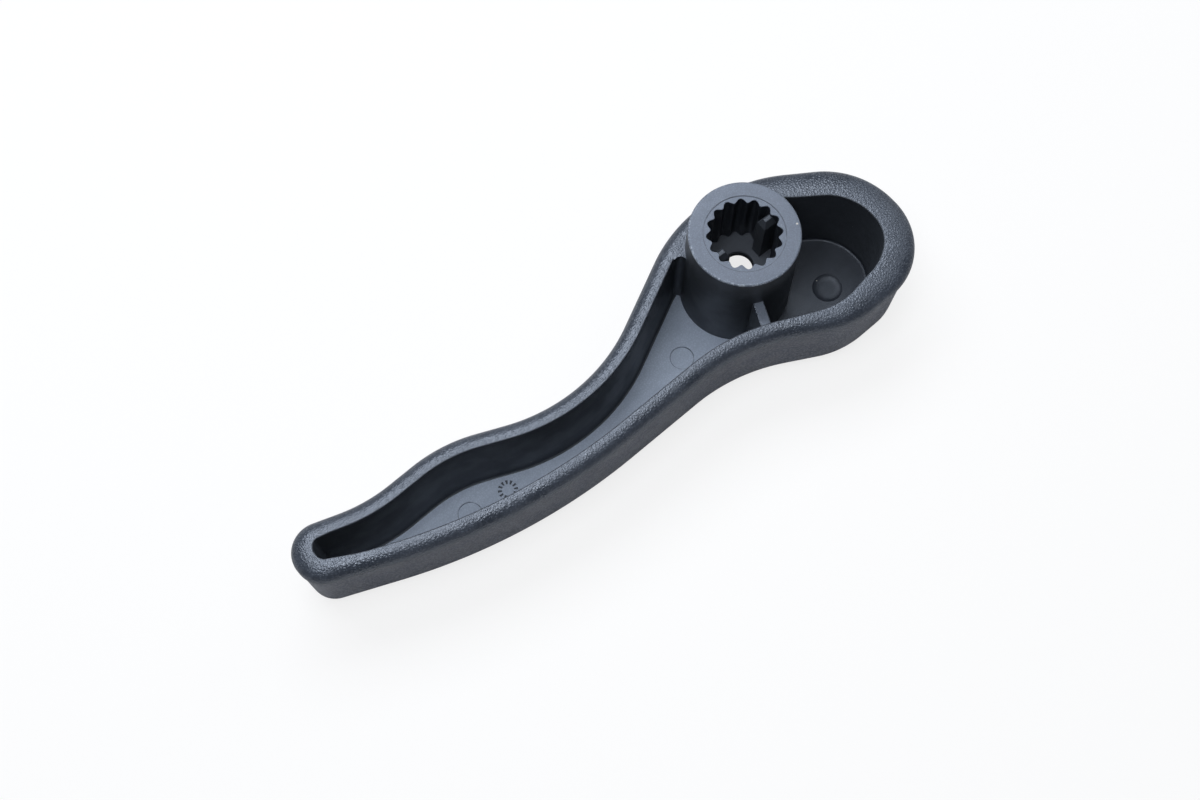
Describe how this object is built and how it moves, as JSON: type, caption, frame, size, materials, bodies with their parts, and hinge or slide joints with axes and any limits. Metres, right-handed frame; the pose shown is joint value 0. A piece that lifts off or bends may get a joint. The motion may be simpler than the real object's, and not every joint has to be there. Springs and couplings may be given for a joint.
{
  "type": "seat recline lever",
  "caption": "Hollow S-shaped moulded plastic lever with a raised splined hub socket, two long keys, a screw hole in its web and a rounded grained rim.",
  "frame": {"origin": "centre of the splined socket's mouth, on the hub face", "axes": "+Z out of the socket along the hub axis, +X from the hub along the arm to the tip, +Y towards the lever's straighter edge"},
  "size_m": [0.1578, 0.0449, 0.0338],
  "materials": {
    "moulded_plastic": "satin inside, fine leather grain outside"
  },
  "bodies": {
    "root": {"lever": "moulded_plastic"}
  },
  "joints": []
}
